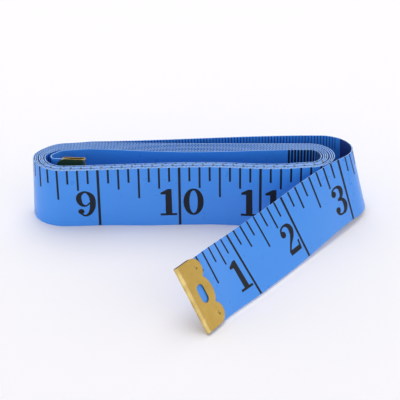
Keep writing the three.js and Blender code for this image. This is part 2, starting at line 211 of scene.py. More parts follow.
class Route:
    """The tape's middle line, as stations from the outer tip's bead to the inner tip's bead."""

    # steps along a bend, a straight run, the free end and the inner end
    BEND_STEPS = 22
    RUN_STEPS = 22
    FREE_STEPS = 110
    INNER_STEPS = 12
    # shares of a stretch over which the draw, the swell and the lean come in and fade
    DRAW_IN, DRAW_OUT = (0.5, 0.75), (0.1, 0)
    SWELL_IN, SWELL_OUT = (0, 0.12), (0.42, 0.17)
    LEAN_IN, LEAN_OUT = (0, 0.2), (0.88, 0.6)
    INNER_AIM = 1 / 3  # place on the innermost bend that the inner end points straight away from

    def __init__(self, sizes, ends):
        self.sizes = sizes
        self.ends = ends
        self.taper = asin((sizes.left_eye_radius - sizes.right_eye_radius) / sizes.bend_spacing)
        self.back_normal = np.array([sin(self.taper), cos(self.taper)])
        self.front_normal = np.array([sin(self.taper), -cos(self.taper)])
        self.left = np.array(sizes.left_centre)
        self.right = self.left + np.array([sizes.bend_spacing, 0])
        self.last_run = STRETCHES * sizes.turns + BACK
        self.bend_length = ends.bend_radius * ends.bend_turn
        self.free_total = self.bend_length + ends.free_length
        self.bend_start = self.last_run_point(1)
        self.lay_out()

    def eye(self, stretch, share):
        """Point of the eye's outline and its outward normal."""
        sizes = self.sizes
        back = pi / 2 - self.taper
        if stretch in (LEFT, RIGHT):
            first, sweep = (-back, pi + 2 * self.taper) if stretch == LEFT else (back, pi - 2 * self.taper)
            angle = first - sweep * share
            normal = np.array([cos(angle), sin(angle)])
            centre = self.left if stretch == LEFT else self.right
            radius = sizes.left_eye_radius if stretch == LEFT else sizes.right_eye_radius
            return centre + radius * normal, normal
        normal = self.back_normal if stretch == BACK else self.front_normal
        on_left = self.left + sizes.left_eye_radius * normal
        on_right = self.right + sizes.right_eye_radius * normal
        share = share if stretch == BACK else 1 - share
        return on_left + (on_right - on_left) * share, normal

    def outermost_offset(self, stretch, share):
        """The outermost layer stands off the eye as it does in the solids."""
        place = STRETCHES * (self.sizes.turns - 1) + stretch + share
        return self.sizes.layer_pitch * place / STRETCHES

    def back_offset(self, layer, share):
        sizes = self.sizes
        return self.outermost_offset(BACK, share) - sizes.back_pitch * (sizes.turns - 1 - layer)

    def front_offset(self, layer, share):
        sizes = self.sizes
        closed_up = sizes.front_pitch * (sizes.turns - 1 - layer)
        openings = (layer <= sizes.turns // 2) + (layer == 0)
        return self.outermost_offset(FRONT, share) - closed_up - sizes.front_gap * openings

    def innermost_offset(self, place):
        """The innermost bend starts as the solid does and ends on the innermost back layer."""
        ends = self.ends
        opened = smooth((place - ends.inner_start) / (1 - ends.inner_start))
        in_solid = self.sizes.layer_pitch * place / STRETCHES
        offset = in_solid + (self.back_offset(0, 0) - self.sizes.layer_pitch / STRETCHES) * opened
        if place < ends.inner_ease:
            drawn = (ends.inner_ease - place) / (ends.inner_ease - ends.inner_start)
            offset -= ends.inner_draw * drawn ** 2
        return offset

    def winding_point(self, place):
        """Point and outward normal of the winding at place, which counts its stretches outwards."""
        sizes = self.sizes
        layer, stretch = divmod(int(floor(place)), STRETCHES)
        share = place - floor(place)
        point, normal = self.eye(stretch, share)
        if stretch == LEFT:
            offset = self.innermost_offset(place)
            if layer:
                before = self.front_offset(layer - 1, 1)
                offset = before + (self.back_offset(layer, 0) - before) * share
            offset -= sizes.left_draw * ramp(*self.DRAW_IN, share)
        elif stretch == BACK:
            offset = self.back_offset(layer, share)
            offset -= sizes.back_dip * (1 - place / self.last_run) * hump(share)
            offset -= sizes.left_draw * ramp(*self.DRAW_OUT, share)
        elif stretch == RIGHT:
            before = self.back_offset(layer, 1)
            offset = before + (self.front_offset(layer, 0) - before) * share
            offset -= sizes.bend_spread * (sizes.turns - 1 - layer) * hump(share)
        else:
            offset = self.front_offset(layer, share) - sizes.front_dip * hump(share)
            offset += sizes.front_swell * ramp(*self.SWELL_IN, share) * ramp(*self.SWELL_OUT, share)
        return point + normal * offset, normal

    def winding_station(self, place):
        """Middle point and across direction on the winding, which leans about its upper edge."""
        sizes = self.sizes
        point, normal = self.winding_point(place)
        stretch, share = int(floor(place)) % STRETCHES, place - floor(place)
        lean = 0
        if stretch == FRONT:
            lean = sizes.front_lean * ramp(*self.LEAN_IN, share) * ramp(*self.LEAN_OUT, share)
        elif stretch == LEFT and place >= 1:
            lean = sizes.left_lean * hump(share)
        outward = np.array([*normal, 0])
        across = UP * cos(lean) - outward * sin(lean)
        middle = sizes.width / 2
        return np.array([*point, middle * cos(lean)]) + outward * middle * sin(lean), across

    def last_run_point(self, share):
        """Point of the last back run, which slowly leaves the coil and ends where the bend starts."""
        sizes = self.sizes
        start, normal = self.winding_point(self.last_run)
        start = start + normal * sizes.left_draw
        along = np.array([normal[1], -normal[0]])
        run = self.right[0] + sizes.last_run_ahead - start[0]
        off_coil = sizes.last_run_rise * smooth(share) - sizes.left_draw * ramp(*self.DRAW_OUT, share)
        return start + along * run * share + normal * off_coil

    def free_station(self, distance):
        """Middle point and across direction at a distance from the bend's start towards the tip."""
        ends = self.ends
        turning = min(distance / self.bend_length, 1)
        point, heading = along_arc(self.bend_start, -self.taper, -ends.bend_turn, self.bend_length, turning)
        past = max(distance - self.bend_length, 0)
        bowed = ends.free_length - ends.tip_reach
        point, heading = along_arc(point, heading, ends.bow, bowed, min(past / bowed, 1))
        straight = max(past - bowed, 0)
        point = point + straight * np.array([cos(heading), sin(heading)])
        righting = (distance - ends.lean_length) / (self.bend_length + bowed - ends.lean_length)
        lean = ends.lean * sin(pi / 2 * clipped(distance / ends.lean_length))
        lean -= ends.righting * smooth(clipped(righting))
        lift = ends.bend_lift * hump(distance / ends.lift_length) + ends.bead_radius * sin(lean)
        to_coil = np.array([sin(heading), -cos(heading), 0])
        across = UP * cos(lean) + to_coil * sin(lean)
        return np.array([*point, lift + self.sizes.width / 2 * cos(lean)]), across

    def lay_out(self):
        """Lays out the free end, the last run, the winding and the inner end."""
        ends = self.ends
        middle = self.sizes.width / 2
        steps = np.linspace(self.free_total - ends.bead_radius, 0, self.FREE_STEPS + 1)
        free = [self.free_station(distance) for distance in steps]
        run = [self.last_run_point(share) for share in np.linspace(1, 0, self.RUN_STEPS + 1)]
        wound = [(np.array([*point, middle]), UP) for point in run]
        for place in range(self.last_run - 1, -1, -1):
            count = self.RUN_STEPS if place % STRETCHES in (BACK, FRONT) else self.BEND_STEPS
            lowest = 0.0
            if place == 0:
                # the innermost bend is tight and stops where the inner end leaves it
                count, lowest = 2 * count, ends.inner_start
            shares = np.linspace(1, lowest, count + 1)[1:]
            wound += [self.winding_station(place + share) for share in shares]
        self.root = wound[-1][0]
        away = self.root - self.winding_station(self.INNER_AIM)[0]
        away = away / np.linalg.norm(away)
        reach = ends.inner_length - ends.bead_radius
        inner = [(self.root + away * gone, UP) for gone in np.linspace(0, reach, self.INNER_STEPS + 1)]
        self.free_last = len(free) - 1
        self.measure(free + wound[1:] + inner[1:])

    def measure(self, stations):
        """Works out the stations' distances from the outer tip's edge and their directions."""
        ends = self.ends
        self.point = np.array([point for point, across in stations])
        self.across = np.array([across for point, across in stations])
        gone = np.linalg.norm(np.diff(self.point, axis=0), axis=1)
        self.distance = ends.bead_radius + np.concatenate([[0], np.cumsum(gone)])
        self.total = self.distance[-1] + ends.bead_radius
        ahead = np.gradient(self.point, axis=0)
        ahead -= self.across * np.sum(ahead * self.across, axis=1)[:, None]
        self.along = ahead / np.linalg.norm(ahead, axis=1)[:, None]
        self.face = np.cross(self.along, self.across)
        # the inner end's piece takes in the stretch of bend that it flexes at
        flex = self.total - ends.inner_length - FLEX_LENGTH
        self.wound_last = int(np.searchsorted(self.distance, flex))

    def spans(self):
        """First and last station of the free end, the winding and the inner end."""
        return {
            "free_end": (0, self.free_last),
            "wound": (self.free_last, self.wound_last),
            "inner_end": (self.wound_last, len(self.point) - 1),
        }

    def at(self, distance, down, off):
        """Points on the tape: distance from the tip, down from the upper edge, off its middle surface."""
        distance, down, off = np.broadcast_arrays(
            np.asarray(distance, float), np.asarray(down, float), np.asarray(off, float)
        )
        i = np.clip(np.searchsorted(self.distance, distance) - 1, 0, len(self.distance) - 2)
        t = (distance - self.distance[i]) / (self.distance[i + 1] - self.distance[i])
        t = t[..., None]
        up = (self.sizes.width / 2 - down)[..., None]
        out = off[..., None]
        here = self.point[i] + self.across[i] * up + self.face[i] * out
        there = self.point[i + 1] + self.across[i + 1] * up + self.face[i + 1] * out
        return here * (1 - t) + there * t


def tape_route():
    scene = bpy.context.scene
    return Route(scene.tape_sizes, scene.tape_ends)


# Meshes


def new_piece(name, vertices, faces, materials):
    if not faces:
        raise ValueError(f"{name} has no faces")
    mesh = bpy.data.meshes.new(name)
    mesh.from_pydata([tuple(v) for v in vertices], [], faces)
    mesh.validate()
    piece = bpy.data.objects.new(name, mesh)
    bpy.context.collection.objects.link(piece)
    for material in materials:
        mesh.materials.append(material)
    return piece


def face_outwards(piece):
    shape = bmesh.new()
    shape.from_mesh(piece.data)
    bmesh.ops.recalc_face_normals(shape, faces=shape.faces)
    shape.to_mesh(piece.data)
    shape.free()


def select_none():
    for other in bpy.context.selected_objects:
        other.select_set(False)


def only_active(piece):
    select_none()
    piece.select_set(True)
    bpy.context.view_layer.objects.active = piece


TAPE_SMOOTH_ANGLE = radians(30)
ROWS_ACROSS = 10  # a leaning tape is twisted, and in rows this narrow its print stays on top of it


def tape_strip(name, route, first, last, rows, materials):
    """The tape between two stations: a closed strip with rounded cut edges, each face in rows across it."""
    sizes = route.sizes
    half, wide, rounding = sizes.thickness / 2, sizes.width / 2, sizes.edge_round
    # the section goes up one face, over the upper edge, down the other face and under the lower edge
    heights = np.linspace(rounding - wide, wide - rounding, rows + 1)
    section = [(half, up) for up in heights] + [(half - rounding, wide), (rounding - half, wide)]
    section += [(-half, up) for up in heights[::-1]] + [(rounding - half, -wide), (half - rounding, -wide)]
    around = len(section)
    vertices = []
    for i in range(first, last + 1):
        for off, up in section:
            vertices.append(route.point[i] + route.across[i] * up + route.face[i] * off)
    faces, on_edge = [], []
    steps = last - first
    for i in range(steps):
        for k in range(around):
            n = (k + 1) % around
            faces.append((i * around + k, i * around + n, (i + 1) * around + n, (i + 1) * around + k))
            on_edge.append(k in (rows + 1, around - 2))
    behind = [2 * rows + 3 - k for k in range(rows + 1)]
    cap = [(k, k + 1, behind[k + 1], behind[k]) for k in range(rows)]
    cap += [(rows, rows + 1, rows + 2, rows + 3), (0, behind[0], around - 2, around - 1)]
    for base in (0, steps * around):
        faces += [tuple(base + k for k in face) for face in cap]
    on_edge += [True] * (2 * len(cap))
    piece = new_piece(name, vertices, faces, materials)
    mesh = piece.data
    mesh.polygons.foreach_set("material_index", [1 if e else 0 for e in on_edge])
    layer = mesh.uv_layers.new(name="tape")
    for loop in mesh.loops:
        row, k = divmod(loop.vertex_index, around)
        off, up = section[k]
        layer.data[loop.index].uv = (route.distance[first + row], up + off)
    face_outwards(piece)
    only_active(piece)
    bpy.ops.object.shade_smooth_by_angle(angle=TAPE_SMOOTH_ANGLE)
    return piece


FILM_ROW = 2 * MM  # rows of a film on the free end, which is twisted
SAME_POINT = 1e-7  # in metres
BOX_FACES = ((3, 2, 1, 0), (4, 5, 6, 7), (0, 1, 5, 4), (1, 2, 6, 5), (2, 3, 7, 6), (3, 0, 4, 7))


class Ink:
    """Collects the marks of one printed piece, each a thin closed film on one face of the tape."""

    def __init__(self, route, side, height):
        self.route = route
        self.side = side
        self.height = height
        self.vertices = []
        self.faces = []

    def add(self, points, faces):
        base = len(self.vertices)
        self.vertices += [tuple(p) for p in points]
        self.faces += [tuple(base + i for i in face) for face in faces]

    def line(self, distance, width, reach):
        """A line or block from the upper edge down the tape."""
        route, side, height = self.route, self.side, self.height
        half, bevel = route.sizes.thickness / 2, route.sizes.edge_round
        rows = max(1, round(reach / FILM_ROW)) if distance < route.free_total else 1
        down = np.array([0, *np.linspace(bevel, reach, rows + 1)])
        off = np.array([half - bevel, *[half] * (rows + 1)])
        first, last = distance - width / 2, distance + width / 2
        # a wide film is folded where the tape's own stations are, so that it keeps on the tape
        stations = route.distance[(route.distance > first) & (route.distance < last)]
        points, faces = [], []
        for d in (first, *stations, last):
            points += list(route.at(d, down, side * (off - height)))
            points += list(route.at(d, down[::-1], side * (off + height)[::-1]))
        around, steps = 2 * len(down), len(stations) + 1
        for i in range(steps):
            for k in range(around):
                n = (k + 1) % around
                faces.append([around * (i + m) + q for m, q in ((0, k), (0, n), (1, n), (1, k))])
        for base in (0, around * steps):
            for k in range(rows + 1):
                faces.append([base + q for q in (k, k + 1, around - 2 - k, around - 1 - k)])
        self.add(points, faces)

    def numeral(self, digit, start, foot, tall):
        """A numeral whose left side is at start, counting along the reading direction."""
        route, side, height = self.route, self.side, self.height
        half = route.sizes.thickness / 2
        scale = tall / DRAWN_HEIGHT
        for (x0, x1), cells in numeral_columns(digit):
            for low0, high0, low1, high1 in cells:
                points = []
                for off in (half - height, half + height):
                    for x, y in ((x0, low0), (x1, low1), (x1, high1), (x0, high0)):
                        distance = start + side * x * scale * WIDENED
                        down = route.sizes.width - foot - y * scale
                        points.append(route.at(distance, down, side * off))
                self.add(points, BOX_FACES)

    def piece(self, name, material):
        made = new_piece(name, self.vertices, self.faces, [material])
        shape = bmesh.new()
        shape.from_mesh(made.data)
        # neighbouring columns of a numeral share their corners and the wall between them
        bmesh.ops.remove_doubles(shape, verts=shape.verts, dist=SAME_POINT)
        bmesh.ops.recalc_face_normals(shape, faces=shape.faces)
        shape.to_mesh(made.data)
        shape.free()
        return made


# Numerals: a bold book face with ball ends and slab feet, drawn in hundredths of its height.
# A stroke is a list of (x, y, breadth), a slab is a polygon with square corners.

DRAWN_HEIGHT = 100
WIDENED = 1.07  # the numerals are printed a little wider than drawn
COLUMN = 1.1  # breadth of the columns that a numeral is filled with
LEAST_GAP = 0.2  # narrower gaps and slivers in a column are left out
NUDGE = 1e-4  # keeps the columns' sides off the corners of the drawing
RING_STEPS = 24
RING_SWELL = 1.5  # power by which a ring's breadth grows from its cap to its side


def ring(cx, cy, rx, ry, side_breadth, cap_breadth):
    stroke = []
    for i in range(RING_STEPS + 1):
        a = 2 * pi * i / RING_STEPS
        breadth = cap_breadth + (side_breadth - cap_breadth) * abs(cos(a)) ** RING_SWELL
        stroke.append((cx + rx * cos(a), cy + ry * sin(a), breadth))
    return stroke


def ball(x, y, breadth):
    return [(x, y, breadth), (x, y, breadth)]


def drawn(width, strokes=(), slabs=()):
    return {"width": width, "strokes": strokes, "slabs": slabs}


LOWER_HOOK = [(46, 9, 14), (30, 3, 7), (14, 8, 7), (8, 19, 7)]
SIX = [(50, 88, 7), (36, 97, 7), (19, 84, 13), (11, 55, 19), (14, 22, 17), (33, 4, 7), (51, 14, 14),
       (55, 32, 18), (48, 52, 13), (33, 58, 6), (20, 47, 5)]
SIX_WIDTH = 66
NUMERALS = {
    "0": drawn(66, [ring(33, 50, 23, 46.5, 19, 7)]),
    "1": drawn(56, slabs=[
        [(20, 4), (40, 4), (40, 100), (33, 100), (20, 92)],
        [(4, 80), (20, 80), (24, 90), (33, 100), (27, 100), (4, 87)],
        [(3, 0), (56, 0), (56, 8), (3, 8)],
    ]),
    "2": drawn(64, [
        ball(15, 73, 22),
        [(9, 76, 7), (14, 90, 7), (31, 97, 7), (47, 90, 14), (52, 74, 19), (45, 55, 15), (26, 34, 8),
         (9, 12, 7)],
    ], [
        [(6, 0), (60, 0), (61, 16), (9, 16)],
        [(54, 10), (61, 10), (64, 32), (57, 32)],
    ]),
    "3": drawn(64, [
        ball(15, 78, 21),
        [(9, 81, 7), (15, 92, 7), (31, 97, 7), (46, 90, 14), (50, 76, 18), (44, 60, 12), (28, 53, 7)],
        [(28, 53, 7), (47, 47, 12), (54, 28, 19), *LOWER_HOOK],
        ball(14, 21, 22),
    ]),
    "4": drawn(68, [[(43, 96, 8), (6, 31, 8)]], [
        [(35, 4), (53, 4), (53, 100), (41, 100), (35, 88)],
        [(2, 24), (66, 24), (66, 34), (2, 34)],
        [(22, 0), (66, 0), (66, 8), (22, 8)],
    ]),
    "5": drawn(64, [
        [(15, 90, 7), (13, 52, 7)],
        [(13, 52, 6), (31, 62, 9), (49, 52, 15), (54, 31, 19), *LOWER_HOOK],
        ball(14, 21, 22),
    ], [
        [(12, 84), (54, 82), (57, 100), (12, 100)],
    ]),
    "6": drawn(SIX_WIDTH, [SIX, ball(49, 80, 20)]),
    "7": drawn(62, [[(54, 90, 8), (38, 56, 13), (29, 26, 18), (27, 9, 19)]], [
        [(5, 82), (58, 84), (58, 100), (5, 100)],
        [(3, 68), (9, 68), (14, 84), (5, 90)],
    ]),
    "8": drawn(66, [ring(33, 75, 18, 21.5, 15, 7), ring(33, 28, 22, 24.5, 18, 7)]),
    "9": drawn(SIX_WIDTH, [[(SIX_WIDTH - x, DRAWN_HEIGHT - y, b) for x, y, b in SIX], ball(17, 20, 20)]),
}


def numeral_width(digit, tall):
    return NUMERALS[digit]["width"] * (tall / DRAWN_HEIGHT) * WIDENED


def smooth_stroke(stroke, per_step=8):
    """Points of a soft curve through a stroke's points."""
    points = np.array(stroke, float)
    if len(points) == 2:
        return points
    padded = np.vstack([2 * points[0] - points[1], points, 2 * points[-1] - points[-2]])
    result = []
    for i in range(1, len(padded) - 2):
        p0, p1, p2, p3 = padded[i - 1:i + 3]
        for t in np.linspace(0, 1, per_step, endpoint=False):
            result.append(
                0.5 * (2 * p1 + (p2 - p0) * t + (2 * p0 - 5 * p1 + 4 * p2 - p3) * t ** 2
                       + (3 * p1 - p0 - 3 * p2 + p3) * t ** 3)
            )
    return np.array(result + [points[-1]])


def numeral_shapes(digit):
    """The discs and convex polygons whose union is the numeral."""
    polygons = [np.array(p, float) for p in NUMERALS[digit]["slabs"]]
    discs = []
    for stroke in NUMERALS[digit]["strokes"]:
        line = smooth_stroke(stroke)
        discs += [(x, y, b / 2) for x, y, b in line]
        for (x0, y0, b0), (x1, y1, b1) in zip(line[:-1], line[1:]):
            run = np.hypot(x1 - x0, y1 - y0)
            if not run:
                continue
            nx, ny = -(y1 - y0) / run, (x1 - x0) / run
            polygons.append(
                np.array([
                    (x0 + nx * b0 / 2, y0 + ny * b0 / 2), (x1 + nx * b1 / 2, y1 + ny * b1 / 2),
                    (x1 - nx * b1 / 2, y1 - ny * b1 / 2), (x0 - nx * b0 / 2, y0 - ny * b0 / 2),
                ])
            )
    return polygons, discs


def column_spans(x, polygons, discs):
    """Where an upright line at x runs inside the numeral, from the bottom up."""
    spans = []
    for polygon in polygons:
        hits = []
        for (x0, y0), (x1, y1) in zip(polygon, np.roll(polygon, -1, axis=0)):
            if (x0 <= x) != (x1 <= x):
                hits.append(y0 + (y1 - y0) * (x - x0) / (x1 - x0))
        hits.sort()
        spans += [(hits[i], hits[i + 1]) for i in range(0, len(hits) - 1, 2)]
    for cx, cy, radius in discs:
        if abs(x - cx) < radius:
            reach = sqrt(radius ** 2 - (x - cx) ** 2)
            spans.append((cy - reach, cy + reach))
    joined = []
    for low, high in sorted(spans):
        low, high = max(low, 0.0), min(high, DRAWN_HEIGHT)
        if joined and low <= joined[-1][1] + LEAST_GAP:
            joined[-1][1] = max(joined[-1][1], high)
        elif high > low + LEAST_GAP:
            joined.append([low, high])
    return joined


@lru_cache(maxsize=None)
def numeral_columns(digit):
    """The numeral as narrow columns: [(x0, x1), [(low0, high0, low1, high1), ...]]."""
    polygons, discs = numeral_shapes(digit)
    count = int(round(NUMERALS[digit]["width"] / COLUMN))
    xs = np.linspace(0, NUMERALS[digit]["width"], count + 1) + NUDGE
    lines = [column_spans(x, polygons, discs) for x in xs]
    result = []
    for i in range(count):
        left, right = lines[i], lines[i + 1]
        if len(left) != len(right) or not left:
            left = right = column_spans((xs[i] + xs[i + 1]) / 2, polygons, discs)
        cells = [(*low, *high) for low, high in zip(left, right)]
        if cells:
            result.append(((xs[i], xs[i + 1]), cells))
    return result


# Materials


def node(tree, kind, links=None, **settings):
    """Adds a node, sets its properties or input values by name and links its inputs."""
    made = tree.nodes.new(kind)
    for key, value in settings.items():
        if key in made.inputs:
            made.inputs[key].default_value = value
        else:
            setattr(made, key, value)
    for name, source in (links or {}).items():
        tree.links.new(source, made.inputs[name])
    return made


def new_material(name):
    material = bpy.data.materials.new(name)
    material.use_nodes = True
    tree = material.node_tree
    tree.nodes.clear()
    return material, tree


def toned(base, times, plus=0):
    """A colour made darker or paler, with its alpha."""
    return (*[min(1, c * times + plus) for c in base], 1)


# Sizes of the patterns: cells of noise a metre, and the wave scale at which threads are 0.5 mm apart
THREAD_WAVES = 0.63
COAT_CELLS = 220  # 4.5 mm across
EDGE_CELLS = 900  # 1.1 mm
INK_CELLS = 1400  # 0.7 mm
TARNISH_CELLS = 350  # 2.9 mm
ROLLING_LINES = (9000, 1200, 1200)  # 0.1 mm apart and 0.8 mm long


def vinyl_coat(name, base):
    """Calendered soft vinyl on a glass-fibre weave: a semi-gloss skin in which the threads just show."""
    material, tree = new_material(name)
    uv = node(tree, "ShaderNodeUVMap", uv_map="tape")
    # the threads are drawn coarser than the real 0.3 mm so that they show
    in_mm = node(tree, "ShaderNodeVectorMath", {0: uv.outputs[0]}, operation="SCALE", Scale=1 / MM)
    warp, weft = [
        node(tree, "ShaderNodeTexWave", {"Vector": in_mm.outputs[0]}, bands_direction=way, Scale=THREAD_WAVES)
        for way in "XY"
    ]
    crossed = {0: warp.outputs["Fac"], 1: weft.outputs["Fac"]}
    weave = node(tree, "ShaderNodeMath", crossed, operation="MULTIPLY")
    bump = node(tree, "ShaderNodeBump", {"Height": weave.outputs[0]}, Strength=0.12, Distance=0.04 * MM)
    # slow unevenness of the coat
    place = node(tree, "ShaderNodeTexCoord")
    at_place = {"Vector": place.outputs["Object"]}
    uneven = node(tree, "ShaderNodeTexNoise", at_place, Scale=COAT_CELLS, Detail=3.0)
    tones = {"Color1": toned(base, 0.98), "Color2": toned(base, 1.02)}
    shade = node(tree, "ShaderNodeMixRGB", {"Fac": uneven.outputs["Fac"]}, **tones)
    by_coat = {"Value": uneven.outputs["Fac"]}
    rough = node(tree, "ShaderNodeMapRange", by_coat, **{"To Min": 0.26, "To Max": 0.3})
    links = {"Base Color": shade.outputs[0], "Roughness": rough.outputs[0], "Normal": bump.outputs[0]}
    shader = node(tree, "ShaderNodeBsdfPrincipled", links, IOR=1.5)
    node(tree, "ShaderNodeOutputMaterial", {"Surface": shader.outputs[0]})
    return material


def cut_edge(name, base):
    """The slit edge of the laminate: paler and duller than the coat, streaked by the threads' ends. It is
    paler partly for the fibre core and partly as a painted highlight where the upper edges catch the light.
    """
    material, tree = new_material(name)
    place = node(tree, "ShaderNodeTexCoord")
    at_place = {"Vector": place.outputs["Object"]}
    streaks = node(tree, "ShaderNodeTexNoise", at_place, Scale=EDGE_CELLS, Detail=2.0)
    tones = {"Color1": toned(base, 0.85), "Color2": toned(base, 1.12)}
    shade = node(tree, "ShaderNodeMixRGB", {"Fac": streaks.outputs["Fac"]}, **tones)
    links = {"Base Color": shade.outputs[0]}
    shader = node(tree, "ShaderNodeBsdfPrincipled", links, Roughness=0.55, IOR=1.5)
    node(tree, "ShaderNodeOutputMaterial", {"Surface": shader.outputs[0]})
    return material


def printing_ink(name, base):
    """Solvent ink on vinyl: dark, slightly glossy, a little thin in places."""
    material, tree = new_material(name)
    place = node(tree, "ShaderNodeTexCoord")
    at_place = {"Vector": place.outputs["Object"]}
    thin = node(tree, "ShaderNodeTexNoise", at_place, Scale=INK_CELLS, Detail=2.0)
    tones = {"Color1": toned(base, 1), "Color2": toned(base, 1.8, 0.004)}
    shade = node(tree, "ShaderNodeMixRGB", {"Fac": thin.outputs["Fac"]}, **tones)
    links = {"Base Color": shade.outputs[0]}
    shader = node(tree, "ShaderNodeBsdfPrincipled", links, Roughness=0.5, IOR=1.33)
    node(tree, "ShaderNodeOutputMaterial", {"Surface": shader.outputs[0]})
    return material


def pressed_brass(name, bright, dull):
    """Rolled brass sheet, pressed and handled: yellow metal with soft tarnish and fine rolling lines."""
    material, tree = new_material(name)
    place = node(tree, "ShaderNodeTexCoord")
    at_place = {"Vector": place.outputs["Object"]}
    tarnish = node(tree, "ShaderNodeTexNoise", at_place, Scale=TARNISH_CELLS, Detail=4.0)
    by_tarnish = {"Value": tarnish.outputs["Fac"]}
    spread = node(tree, "ShaderNodeMapRange", by_tarnish, **{"From Min": 0.3, "From Max": 0.8})
    tones = {"Color1": toned(bright, 1), "Color2": toned(dull, 1)}
    shade = node(tree, "ShaderNodeMixRGB", {"Fac": spread.outputs[0]}, **tones)
    stretched = node(tree, "ShaderNodeMapping", at_place, Scale=ROLLING_LINES)
    lines = node(tree, "ShaderNodeTexNoise", {"Vector": stretched.outputs[0]}, Scale=1.0, Detail=2.0)
    bump = node(tree, "ShaderNodeBump", {"Height": lines.outputs["Fac"]}, Strength=0.1, Distance=0.03 * MM)
    rough = node(tree, "ShaderNodeMapRange", by_tarnish, **{"To Min": 0.2, "To Max": 0.3})
    links = {"Base Color": shade.outputs[0], "Roughness": rough.outputs[0], "Normal": bump.outputs[0]}
    shader = node(tree, "ShaderNodeBsdfPrincipled", links, Metallic=1.0)
    node(tree, "ShaderNodeOutputMaterial", {"Surface": shader.outputs[0]})
    return material


def finish_of(name, maker, *colours):
    """The material of this name, made from the scene's named colours when it is first asked for."""
    finishes = bpy.context.scene.tape_finishes
    return bpy.data.materials.get(name) or maker(name, *[tuple(getattr(finishes, c)) for c in colours])


def tape_materials():
    return [
        finish_of("vinyl coated glass fibre", vinyl_coat, "tape_blue"),
        finish_of("slit vinyl edge", cut_edge, "edge_blue"),
    ]


def inch_ink():
    return finish_of("black printing ink", printing_ink, "ink")


def reverse_ink():
    return finish_of("navy printing ink", printing_ink, "reverse_ink")


# Baking the pieces' placement into their meshes


def bend_with_free_end(piece):
    """Bakes the free end piece's placement into its mesh."""
    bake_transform(piece)


def bend_with_inner_end(piece):
    """Bakes the inner end piece's placement into its mesh."""
    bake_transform(piece)


# The tape, its print and its tips


def lay_tape(name, stretch, rows):
    """One stretch of the tape as a strip, with the route and the strip's flat length."""
    route = tape_route()
    first, last = route.spans()[stretch]
    piece = tape_strip(name, route, first, last, rows, tape_materials())
    return piece, route, route.distance[last] - route.distance[first]


class TAPE_OT_wound_tape(bpy.types.Operator):
    """Wind the tape: one strip round and round the eye, out to the last back run"""

    bl_idname = "tape.wound_tape"
    bl_label = "Wound tape"

    def execute(self, context):
        piece, route, run = lay_tape("wound_tape", "wound", ROWS_ACROSS)
        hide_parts("tape_coil")
        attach(piece, "coil")
        return {"FINISHED"}


class TAPE_OT_free_end(bpy.types.Operator):
    """Draw the free end out round its bend, leaning back"""

    bl_idname = "tape.free_end"
    bl_label = "Free end"

    def execute(self, context):
        piece, route, run = lay_tape("free_end_tape", "free_end", ROWS_ACROSS)
        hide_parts("tape_bend", "tape_free_end")
        bend_with_free_end(piece)
        return {"FINISHED"}


class TAPE_OT_inner_end(bpy.types.Operator):
    """Carry the tape on from the innermost bend to the inner tip"""

    bl_idname = "tape.inner_end"
    bl_label = "Inner end"

    def execute(self, context):
        # it stands upright, so one row across does
        piece, route, run = lay_tape("inner_end_tape", "inner_end", 1)
        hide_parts("tape_inner_end")
        bend_with_inner_end(piece)
        return {"FINISHED"}


EIGHTHS = 8
FIRST_TICK = 3  # in eighths, the first that the tip leaves in sight
LAST_NUMERAL = 13  # later ones lie between the layers
SECOND_GAP = 1.25  # from an inch line to a second digit, in numeral gaps
# the reverse is bare under the outer tip and near the inner end
CENTIMETRE = 10 * MM
REVERSE_START = 13  # in millimetres
BARE_INNER = 88.5 * MM
SHADED_RUN = 40 * MM  # next to the bare inner end, in the shade of the eye, the lines are drawn wider: painted shade
SHADED_WIDENING = 2.4  # times as wide
# the dark sheet on the reverse inside the bend is painted shade, put where the bend's inner face is in shadow
SHADE_START, SHADE_END = 73 * MM, 98 * MM
SHADE_SHEET_HEIGHT = 1.8  # in ink heights
SHADE_MARGIN = 1.5 * MM  # bare coat between the painted shade sheet and the lines beside it
NUMERALS_FROM, NUMERALS_TO = 16 * MM, SHADE_START - 6 * MM
NUMERAL_DROP = 1.2 * MM  # from a centimetre tick to its numeral


def tick_reach(count, reaches):
    """How far a tick reaches: as given for the first step that its count is a multiple of."""
    return next(reach for step, reach in reaches if count % step == 0)


class TAPE_OT_inch_print(bpy.types.Operator):
    """Print the inch face: ticks by eighths, inch lines and numerals"""

    bl_idname = "tape.inch_print"
    bl_label = "Inch print"

    def execute(self, context):
        sizes = context.scene.tape_print
        route = tape_route()
        free_ink, wound_ink = (Ink(route, INCH_FACE, sizes.ink_height) for _ in range(2))
        full_width = route.sizes.width - route.sizes.edge_round
        # steps in eighths of an inch, and how far their ticks reach
        reaches = ((8, full_width), (4, sizes.half_tick), (2, sizes.quarter_tick), (1, sizes.eighth_tick))
        last_tick = int((route.total - route.ends.inner_length) / sizes.inch * EIGHTHS)
        for tick in range(FIRST_TICK, last_tick):
            distance = tick * sizes.inch / EIGHTHS
            ink = free_ink if distance < route.free_total else wound_ink
            width = sizes.fraction_line if tick % EIGHTHS else sizes.inch_line
            ink.line(distance, width, tick_reach(tick, reaches))
        tall, foot = sizes.numeral_height, sizes.numeral_base
        for number in range(1, LAST_NUMERAL + 1):
            line = number * sizes.inch
            ink = free_ink if line < route.free_total else wound_ink
            first, *second = str(number)
            start = line - sizes.numeral_gap - numeral_width(first, tall)
            ink.numeral(first, start, foot, tall)
            for digit in second:
                ink.numeral(digit, line + SECOND_GAP * sizes.numeral_gap, foot, tall)
        free = free_ink.piece("free_end_inch_print", inch_ink())
        wound = wound_ink.piece("wound_inch_print", inch_ink())
        bend_with_free_end(free)
        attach(wound, "coil")
        return {"FINISHED"}


